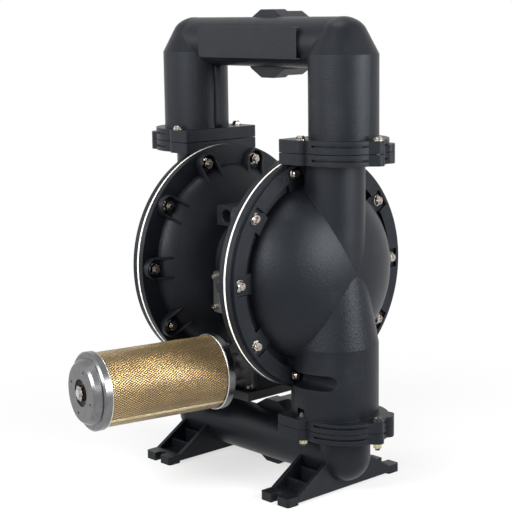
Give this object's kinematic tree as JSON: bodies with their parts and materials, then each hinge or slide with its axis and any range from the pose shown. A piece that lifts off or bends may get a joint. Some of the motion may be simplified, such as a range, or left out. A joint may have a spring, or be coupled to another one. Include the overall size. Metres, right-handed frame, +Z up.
{
  "type": "air operated double diaphragm pump",
  "caption": "Air operated double diaphragm pump: two round fluid caps on a centre body, pipe manifolds above and below, cylindrical exhaust silencer at the front.",
  "frame": {"origin": "on the ground, midway between the four open foot slots", "axes": "+X along the connecting rod, +Y towards the ports, -Y towards the silencer, +Z up"},
  "size_m": [0.548, 0.5844, 0.814],
  "materials": {
    "casting": "satin dark blue-black paint on cast aluminium",
    "cover": "light grey cast finish",
    "diaphragm": "white sheet, satin",
    "bolt": "plated steel, slightly warm",
    "black_bolt": "painted over black with worn corners",
    "zinc": "yellow zinc plating",
    "base": "black, matt",
    "muffler_cap": "bright pressed metal",
    "muffler_mesh": "fine gold-coloured woven wire",
    "inner_steel": "machined",
    "ball": "white, smooth",
    "bushing": "moulded"
  },
  "bodies": {
    "pump": {"outlet_manifold": "casting", "inlet_manifold": "casting", "fluid_cap_right": "casting", "fluid_cap_left": "casting", "air_cap_right": "casting", "air_cap_left": "casting", "diaphragm_right": "diaphragm", "diaphragm_left": "diaphragm", "rod_bushings": "bushing", "centre_body": "casting", "valve_cover": "cover", "spool_end_caps": "bushing", "centre_base_plate": "base", "exhaust_adapter": "cover", "muffler_rear_cap": "muffler_cap", "muffler_sleeve": "muffler_mesh", "muffler_front_cap": "muffler_cap", "muffler_tie_rod": "inner_steel", "muffler_nut": "bolt", "outlet_seats": "inner_steel", "inlet_seats": "inner_steel", "clamp_bolts_right": "bolt", "clamp_bolts_left": "bolt", "clamp_nuts_right": "bolt", "clamp_nuts_left": "bolt", "outlet_flange_bolts": "bolt", "inlet_flange_bolts": "black_bolt", "inlet_flange_nuts": "zinc", "cover_screws": "bolt", "adapter_screws": "bolt"},
    "rod": {"connecting_rod": "inner_steel", "inner_plate_right": "inner_steel", "inner_plate_left": "inner_steel", "outer_plate_right": "inner_steel", "outer_plate_left": "inner_steel"},
    "spool": {"valve_spool": "inner_steel"},
    "ball_outlet_right_body": {"ball_outlet_right": "ball"},
    "ball_outlet_left_body": {"ball_outlet_left": "ball"},
    "ball_inlet_right_body": {"ball_inlet_right": "ball"},
    "ball_inlet_left_body": {"ball_inlet_left": "ball"}
  },
  "joints": [
    {"name": "rod_stroke", "type": "slide", "parent": "pump", "child": "rod", "axis": [1, 0, 0], "range_m": [-0.028, 0.028], "deforming": ["diaphragm_right", "diaphragm_left"]},
    {"name": "ball_outlet_right_lift", "type": "slide", "parent": "pump", "child": "ball_outlet_right_body", "axis": [0, 0, 1], "range_m": [0, 0.018]},
    {"name": "ball_outlet_left_lift", "type": "slide", "parent": "pump", "child": "ball_outlet_left_body", "axis": [0, 0, 1], "range_m": [0, 0.018]},
    {"name": "ball_inlet_right_lift", "type": "slide", "parent": "pump", "child": "ball_inlet_right_body", "axis": [0, 0, 1], "range_m": [0, 0.018]},
    {"name": "ball_inlet_left_lift", "type": "slide", "parent": "pump", "child": "ball_inlet_left_body", "axis": [0, 0, 1], "range_m": [0, 0.018]},
    {"name": "spool_shift", "type": "slide", "parent": "pump", "child": "spool", "axis": [1, 0, 0], "range_m": [-0.005, 0.005]}
  ]
}
